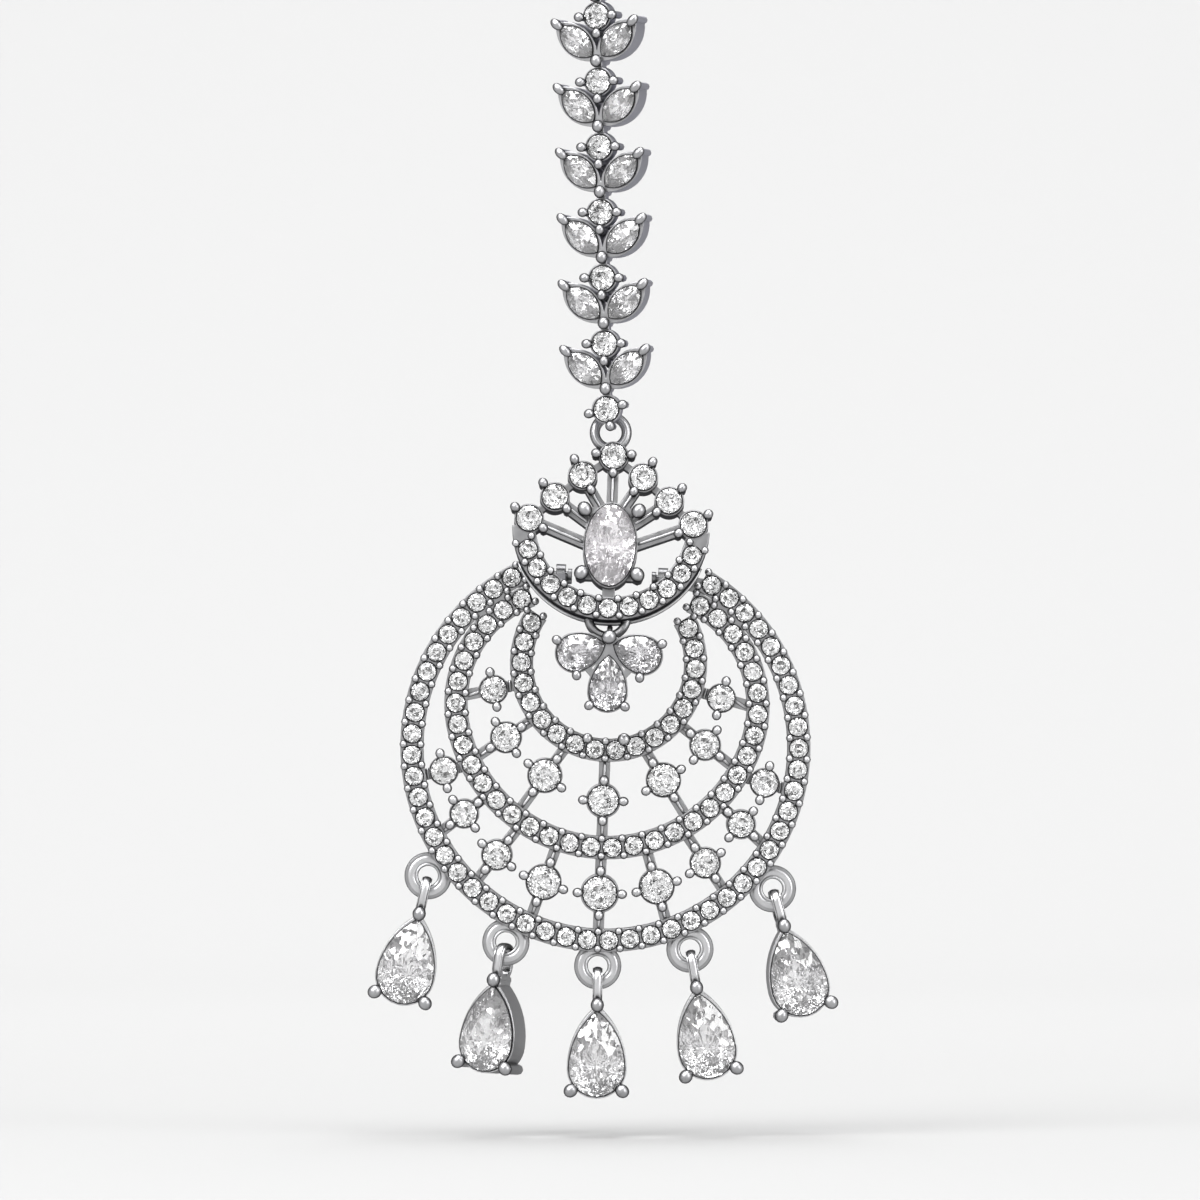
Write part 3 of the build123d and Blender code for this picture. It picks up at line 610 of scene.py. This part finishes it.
def facing(finish, edge, low, high):
    """How far a surface turns to the front, from 0 on the walls to 1 on the face, and its normal with the
    edges rounded off."""
    rounded = finish.node("ShaderNodeBevel", {"samples": 4}, Radius=edge)
    to_object = {"vector_type": "NORMAL", "convert_from": "WORLD", "convert_to": "OBJECT"}
    own = finish.node("ShaderNodeVectorTransform", to_object, Vector=rounded)
    depth = finish.node("ShaderNodeSeparateXYZ", output="Y", Vector=own)
    share = finish.node("ShaderNodeMapRange", {"interpolation_type": "SMOOTHSTEP"}, Value=depth * -1.0,
                        From_Min=low, From_Max=high)
    return share, rounded


def plated_metal(name, wall, dark, light, smooth, rough, edge, low=0.3, high=0.97):
    """Polished plate with soft edges. Its walls take a colour of their own, which is painted shade and
    painted
    reflection: on most metals darker than the face, as the dark reflections along the edges are. A faint
    cloud of colour and polish, and a very fine unevenness."""
    finish = Finish(name)
    cloud = noise(finish, 0.9)
    fine = noise(finish, 7.0, 3.0)
    share, rounded = facing(finish, edge, low, high)
    bump = finish.node("ShaderNodeBump", Strength=0.15, Distance=0.00003, Height=fine, Normal=rounded)
    face = blend_colours(finish, cloud, dark, light)
    polish = cloud * (rough - smooth) + smooth
    # Base colour: the walls' colour, which is painted shade and painted reflection, blended into the face's
    # clouded colour by how far the surface turns to the front
    finish.set(Base_Color=blend_colours(finish, share, wall, face), Metallic=1.0,
               Roughness=polish + (1 - share) * WALL_ROUGHNESS, Specular_Tint=EDGE_TINT, Normal=bump)
    return finish.material


def vector_step(finish, operation, *values):
    """One Vector Math node."""
    return finish.node("ShaderNodeVectorMath", {"operation": operation}, places=enumerate(values))


def inner_facets(finish, cell, lean):
    """A normal that leans a little, at random from one small cell to the next, as fine inner facets do."""
    where = finish.node("ShaderNodeTexCoord", output="Object")
    cells = finish.node("ShaderNodeTexVoronoi", output="Color", Vector=where, Scale=1 / cell)
    own = finish.node("ShaderNodeNewGeometry", output="Normal")
    tilt = vector_step(finish, "MULTIPLY_ADD", cells, [lean] * 3, [-lean / 2] * 3)
    return vector_step(finish, "NORMALIZE", vector_step(finish, "ADD", own, tilt))


def clear_stone(name, dark, light, cell, lean, clear=1.0, index=2.1):
    """Clear cut stone with a faint cloud of tint, milky where it isn't wholly clear."""
    finish = Finish(name)
    cloud = noise(finish, 0.35, 1.0)
    finish.set(Base_Color=blend_colours(finish, cloud, dark, light), Roughness=0.0,
               IOR=index, Transmission_Weight=clear, Normal=inner_facets(finish, cell, lean))
    return finish.material


# Painted light and shade: the silvers are one plated metal in lighter and darker copies, part by part; the
# frames' bands take the darkest copy, the chain a middle one, the settings the lightest
shaded_band_silver = plated_metal("band_silver", (0.05, 0.05, 0.053), (0.26, 0.26, 0.265), (0.46, 0.46, 0.47),
                           0.25, 0.38, 0.13 * MM)
silver = plated_metal("polished_silver", (0.34, 0.34, 0.345), (0.5, 0.5, 0.51), (0.68, 0.68, 0.69),
                      0.2, 0.3, 0.13 * MM)
chain_silver = plated_metal("chain_silver", (0.4, 0.4, 0.44), (0.37, 0.37, 0.38), (0.52, 0.52, 0.53),
                            0.26, 0.36, 0.1 * MM)
# The bead and claw metals' near-black walls are painted shade: a dark outline round every bead and claw head
bead_silver = plated_metal("bead_silver", (0.02, 0.02, 0.022), (0.46, 0.46, 0.47), (0.62, 0.62, 0.63),
                           0.36, 0.46, 0.01 * MM, 0.25, 0.85)
claw_silver = plated_metal("claw_silver", (0.02, 0.02, 0.022), (0.34, 0.34, 0.35), (0.48, 0.48, 0.49),
                           0.34, 0.44, 0.01 * MM, 0.25, 0.85)
washer_silver = plated_metal("washer_silver", (0.08, 0.08, 0.085), (0.5, 0.5, 0.51), (0.66, 0.66, 0.67),
                             0.3, 0.4, 0.01 * MM, 0.15, 0.8)
# Painted shade: the near-black metal of the ring round each stone, which stands for the shadow in the gap of
# its seat
gap_shade_silver = plated_metal("painted_gap_shade", (0.015, 0.015, 0.016), (0.03, 0.03, 0.032), (0.05, 0.05, 0.052),
                           0.4, 0.5, 0.01 * MM)
white_stone = clear_stone("white_stone", (0.95, 0.95, 0.96), (1.0, 1.0, 1.0), 0.24 * MM, 0.3, 0.97)
pear_white = clear_stone("pear_stone", (0.93, 0.92, 0.94), (1.0, 1.0, 1.0), 0.42 * MM, 0.34, 0.9)
# Painted shade: a darker, greyer copy of the clear stone for the trefoil's leaflets, which stands for the
# shade they look to be in
leaflet_shade_stone = clear_stone("leaflet_painted_shade_stone", (0.8, 0.79, 0.82), (0.93, 0.92, 0.94), 0.36 * MM, 0.45, 0.92)
lilac_stone = clear_stone("lilac_stone", (0.94, 0.9, 0.94), (1.0, 0.99, 1.0), 0.5 * MM, 0.42, 0.85)


# Stones of the jewel -------------------------------------------------------------

def body_of(node):
    """The body a frame node rides on."""
    for body, nodes in frame["record"]["behaviour"]["bodies"].items():
        if node in nodes:
            return body
    raise KeyError(node)


lines = {}


def cut_stones(node, cut, material):
    """Every stone of one node, cut again in its seat, with the dark ring of painted shade round it."""
    places = seats(node)
    shapes = [cut(seat) for seat in places]
    points, faces = many([shape[:2] for shape in shapes])
    piece = make_piece(node + "_cut", points, faces, body_of(node), "clear_stone", material)
    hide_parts(node)
    rims = lines.setdefault(body_of(node), [])
    rims += [rim(seat, shape[2]) for seat, shape in zip(places, shapes)]
    return places


def in_row(places):
    """Seats of a row put in order: from one end, always to the nearest one left."""
    middles = np.array([seat.middle for seat in places])
    gaps = np.linalg.norm(middles[:, None] - middles[None], axis=2)
    near = np.sort(gaps, axis=1)[:, 2]
    order = [int(np.argmax(near))]
    left = set(range(len(places))) - set(order)
    while left:
        nearest = min(left, key=lambda i: gaps[order[-1], i])
        order.append(nearest)
        left.remove(nearest)
    return [places[i] for i in order]


def row_beads(places):
    """Beads on both edges of a row, between neighbours and past both end stones."""
    ordered = in_row(places)
    middles = np.array([seat.middle for seat in ordered])
    out = ordered[0].out
    before = 2 * middles[0] - middles[1]
    after = 2 * middles[-1] - middles[-2]
    line = np.concatenate([[before], middles, [after]])
    halves = (line[1:] + line[:-1]) / 2
    runs = line[1:] - line[:-1]
    sides = np.cross(runs, out)
    sides = sides / np.linalg.norm(sides, axis=1)[:, None]
    shapes = []
    for half, side in zip(halves, sides):
        for sign in (-1, 1):
            bead = half + sign * BEAD_REACH * side + BEAD_LIFT * out
            radius = BEAD_RADIUS
            for x, z, big in BIG_BEADS:
                if np.hypot(bead[0] - x * MM, bead[2] - z * MM) < BEAD_REACH:
                    radius = big * MM
            shapes.append(ball(bead, out, radius))
    return shapes


ROWS = ["outer_pave_stones", "middle_pave_stones", "inner_pave_stones"]
row_shapes = []
for node in ROWS:
    row_shapes += row_beads(cut_stones(node, lambda seat: round_stone(seat, ROW_GROWTH), white_stone))
make_piece("crescent_beads", *many(row_shapes), "crescent", "silver_metal", bead_silver, smooth=True)
crown_row = cut_stones("crown_pave_stones", lambda seat: round_stone(seat, ROW_GROWTH), white_stone)
make_piece("crown_beads", *many(row_beads(crown_row)), "crown", "silver_metal", bead_silver, smooth=True)

fan = cut_stones("crown_fan_stones", round_stone, white_stone)
accents = []
for node in ("inner_accent_stones", "outer_accent_stones"):
    accents += cut_stones(node, round_stone, white_stone)
oval = cut_stones("oval_stone", oval_stone, lilac_stone)[0]
leaflets = []
for side in ("left", "right", "middle"):
    leaflets += cut_stones("trefoil_stone_" + side, pear_stone, leaflet_shade_stone)
drops = []
for number in range(1, DROPS + 1):
    drops += cut_stones(f"drop_stone_{number}", pear_stone, pear_white)
buds = []
leaves = []
for number in range(1, LINKS + 1):
    buds += cut_stones(f"link_bud_stone_{number}", round_stone, white_stone)
    for side in ("left", "right"):
        leaves += cut_stones(f"link_leaf_stone_{side}_{number}", leaf_stone, pear_white)


def claw_heads(node, held, metal, tip_stretch=CLAW_STRETCH):
    """A round head on every claw of a frame node, drawn out towards the nearest of the stones it holds, and
    more so at the tip of a slim stone."""
    shapes = []
    out = held[0].out
    for middle, radius in claw_tops(node, held[0]):
        reaches = [np.linalg.norm(seat.middle - middle) - seat.half_width for seat in held]
        seat = held[int(np.argmin(reaches))]
        inward = seat.middle - middle
        inward = unit(inward - (inward @ out) * out)
        slim = seat.half_width < SLIM * seat.tip
        stretch = tip_stretch if slim and abs(inward @ seat.along) > AT_TIP else CLAW_STRETCH
        foot = middle - CLAW_TAPER * radius * out + (stretch - 1) * radius * inward
        shapes.append(ball(foot, out, CLAW_HEAD * radius, 16, 9, stretch * inward))
    return make_piece(node + "_claws", *many(shapes), body_of(node), "silver_metal", metal, smooth=True)


claw_heads("crescent_frame", accents, bead_silver)
claw_heads("crown_frame", crown_row + fan + [oval], claw_silver)
claw_heads("trefoil_frame", leaflets, claw_silver)
for number, seat in enumerate(drops, 1):
    claw_heads(f"drop_setting_{number}", [seat], claw_silver)
for number, seat in enumerate(buds, 1):
    held = [seat] + leaves[2 * number - 2:2 * number]
    claw_heads(f"chain_link_{number}", held, claw_silver, LEAF_STRETCH)

# The rings of painted gap shade round the stones, one piece for each body
for body, rims in lines.items():
    make_piece(body + "_stone_gap_shade", *many(rims), body, "silver_metal", gap_shade_silver, smooth=True)


def spoke_runs(node, seat):
    """Both ends of every free length of spoke: groups of the frame's triangles that lie in the spokes'
    front."""
    points, triangles = mesh_arrays(node)
    height = (points - seat.middle) @ seat.out
    front = triangles[(np.abs(height[triangles] + SPOKE_DEPTH) < 0.01 * MM).all(axis=1)]
    for group in joined_groups(front, len(points)):
        corners = points[np.unique(group)]
        middle = (corners.min(axis=0) + corners.max(axis=0)) / 2
        _, vectors = np.linalg.eigh((corners - middle).T @ (corners - middle))
        along = vectors[:, 2]
        lengths = (corners - middle) @ along
        if lengths.max() - lengths.min() > SPOKE_SHORTEST:
            yield middle + lengths.min() * along, middle + lengths.max() * along


def fan_runs():
    """Both ends of each spoke from a fan stone to the oval."""
    across = np.cross(oval.along, oval.out)
    for seat in fan:
        aside = (seat.middle - oval.middle) @ across
        rank = sum(abs((other.middle - oval.middle) @ across) < abs(aside) - 0.2 * MM for other in fan)
        foot = oval.middle + FAN_FEET[(rank + 1) // 2] * MM * oval.along
        run = foot - seat.middle
        share = np.linspace(0, 1, 60)[:, None]
        line = seat.middle + share * run - oval.middle
        inside = (line @ across / oval.half_width) ** 2 + (line @ oval.along / oval.tip) ** 2 < 1
        start = seat.middle + unit(run) * seat.half_width
        end = line[int(np.argmax(inside))] + oval.middle
        yield start - SPOKE_DEPTH * oval.out, end - SPOKE_DEPTH * oval.out


crescent_ridges = [ridge(start, end, accents[0].out, RIDGE_HALF)
                   for start, end in spoke_runs("crescent_frame", accents[0])]
make_piece("crescent_ridges", *many(crescent_ridges), "crescent", "silver_metal", bead_silver, smooth=True)
fan_ridges = [ridge(start, end, oval.out, RIDGE_HALF) for start, end in fan_runs()]
make_piece("crown_ridges", *many(fan_ridges), "crown", "silver_metal", bead_silver, smooth=True)

oval_across = np.cross(oval.along, oval.out)
turns = np.radians(np.linspace(-RAIL_SPAN, RAIL_SPAN, 33))[:, None]
rail = oval.middle + BAND_CENTRE * oval.along - RAIL_DEPTH * oval.out
rail = rail + RAIL_RADIUS * (np.sin(turns) * oval_across - np.cos(turns) * oval.along)
ring_middle = oval.middle + RING_PLACE @ np.stack([oval_across, oval.along, oval.out])
crown_extras = [
    bent_bar(rail, oval.out, RAIL_HALF),
    turned_ring(ring_middle, oval.out, RING_MIDDLE, RING_HALF),
]
make_piece("crown_rail_and_ring", *many(crown_extras), "crown", "silver_metal", washer_silver, smooth=True)

washers = []
bails = []
face = accents[0].out
for seat in drops:
    washer = seat.middle + STONE_BELOW_WASHER * seat.along - STONE_BEFORE_WASHER * seat.out
    lip = washer + (WASHER_HALF[1] - LIP_HALF[1]) * face
    washers.append(turned_ring(washer, face, WASHER_MIDDLE, WASHER_HALF))
    washers.append(turned_ring(lip, face, LIP_MIDDLE, LIP_HALF))
    middle = washer - (BAIL_TOP + BAIL_FOOT) / 2 * seat.along
    half_height = (BAIL_FOOT - BAIL_TOP) / 2 + BAIL_STRIP
    bails.append(loop_strip(middle, seat.along, seat.out, BAIL_DEPTH + BAIL_STRIP, half_height, BAIL_BEND,
                            BAIL_HALF))
make_piece("drop_washers", *many(washers), "crescent", "silver_metal", washer_silver, smooth=True)
make_piece("drop_bails", *many(bails), "crescent", "silver_metal", washer_silver, smooth=True)

for node, piece in frame["nodes"].items():
    piece.data.materials.clear()
    metal = silver
    if "link" in node:
        metal = chain_silver
    elif node in ("crescent_frame", "crown_frame", "trefoil_frame"):
        metal = shaded_band_silver
    piece.data.materials.append(metal)


# Studio ------------------------------------------------------------------------------

def studio_sweep():
    """Pale floor that curves up into a wall: a profile of floor, quarter circle and wall, run sideways."""
    floor = cad_box[0][2] - FLOOR_BELOW
    turn = np.linspace(0, pi / 2, 24)
    depth = np.concatenate([[SWEEP_FRONT], FLOOR_RUN + BEND * np.sin(turn), [FLOOR_RUN + BEND]])
    height = np.concatenate([[0.0], BEND * (1 - np.cos(turn)), [SWEEP_TOP]]) + floor
    sides = np.array([-SWEEP_SIDE, SWEEP_SIDE])
    points = np.array([[x, y, z] for y, z in zip(depth, height) for x in sides])
    faces = [[2 * i, 2 * i + 1, 2 * i + 3, 2 * i + 2] for i in range(len(depth) - 1)]
    mesh = bpy.data.meshes.new("studio_sweep")
    mesh.from_pydata(points.tolist(), [], faces)
    mesh.polygons.foreach_set("use_smooth", np.full(len(mesh.polygons), True))
    sweep = bpy.data.objects.new("studio_sweep", mesh)
    bpy.context.scene.collection.objects.link(sweep)
    paper = Finish("pale_paper")
    where = paper.node("ShaderNodeTexCoord", output="Object")
    behind = paper.node("ShaderNodeSeparateXYZ", output="Y", Vector=where)
    glow = paper.node("ShaderNodeMapRange", {"interpolation_type": "SMOOTHSTEP"}, Value=behind,
                      From_Min=GLOW_RUN[0], From_Max=GLOW_RUN[1], To_Min=FLOOR_GLOW, To_Max=WALL_GLOW)
    paper.set(Base_Color=PAPER, Roughness=1.0, Specular_IOR_Level=0.0)
    paper.set(Emission_Color=glow, Emission_Strength=1.0)
    sweep.data.materials.append(paper.material)


def soft_light(name, place, aim, size, watts):
    """Soft rectangular light that points at a place."""
    lamp = bpy.data.lights.new(name, "AREA")
    lamp.shape = "RECTANGLE"
    lamp.size, lamp.size_y = size
    lamp.energy = watts
    light = bpy.data.objects.new(name, lamp)
    bpy.context.scene.collection.objects.link(light)
    back = unit(np.array(place) - np.array(aim))
    side = unit(np.cross(UP, back))
    turn = np.eye(4)
    turn[:3, :3] = np.stack([side, np.cross(back, side), back], axis=1)
    turn[:3, 3] = place
    light.matrix_world = Matrix(turn.tolist())


def sky():
    """Pale surroundings broken by dark patches, which the facets and beads mirror as small dark flecks.
    Straight in front of the jewel the surroundings stay pale, so that its flat faces do."""
    world = bpy.data.worlds.new("studio_air")
    bpy.context.scene.world = world
    world.use_nodes = True
    air = Nodes(world.node_tree)
    where = air.node("ShaderNodeTexCoord", output="Generated")
    cloud = air.node("ShaderNodeTexNoise", Vector=where, Scale=PATCHES, Detail=1.0)
    front = air.node("ShaderNodeSeparateXYZ", output="Y", Vector=where) * -1.0
    near = (front - PALE_CONE) * PALE_FADE
    near = near.join("MAXIMUM", near, 0.0)
    patch = air.node("ShaderNodeMapRange", {"interpolation_type": "SMOOTHSTEP"}, Value=cloud + near,
                     From_Min=PATCH_EDGE[0], From_Max=PATCH_EDGE[1], To_Min=PATCH_LIGHT[0],
                     To_Max=PATCH_LIGHT[1])
    background = air.tree.nodes["Background"]
    air.feed(background, "Color", patch)
    air.feed(background, "Strength", SKY_STRENGTH)


def camera():
    """Level long lens that takes in the chain and the drops."""
    lens = bpy.data.cameras.new("camera")
    lens.sensor_width = SENSOR
    lens.lens = SENSOR * CAMERA_AWAY / VIEW_WIDTH
    lens.clip_start = 0.05
    lens.clip_end = 20
    eye = bpy.data.objects.new("camera", lens)
    bpy.context.scene.collection.objects.link(eye)
    eye.location = VIEW_MIDDLE + FRONT * CAMERA_AWAY
    eye.rotation_euler = (pi / 2, 0, 0)
    bpy.context.scene.camera = eye


studio_sweep()
for name, (place, size, watts) in LIGHTS.items():
    soft_light(name, place, VIEW_MIDDLE, size, watts)
sky()
camera()
bpy.context.scene.view_settings.view_transform = "Standard"
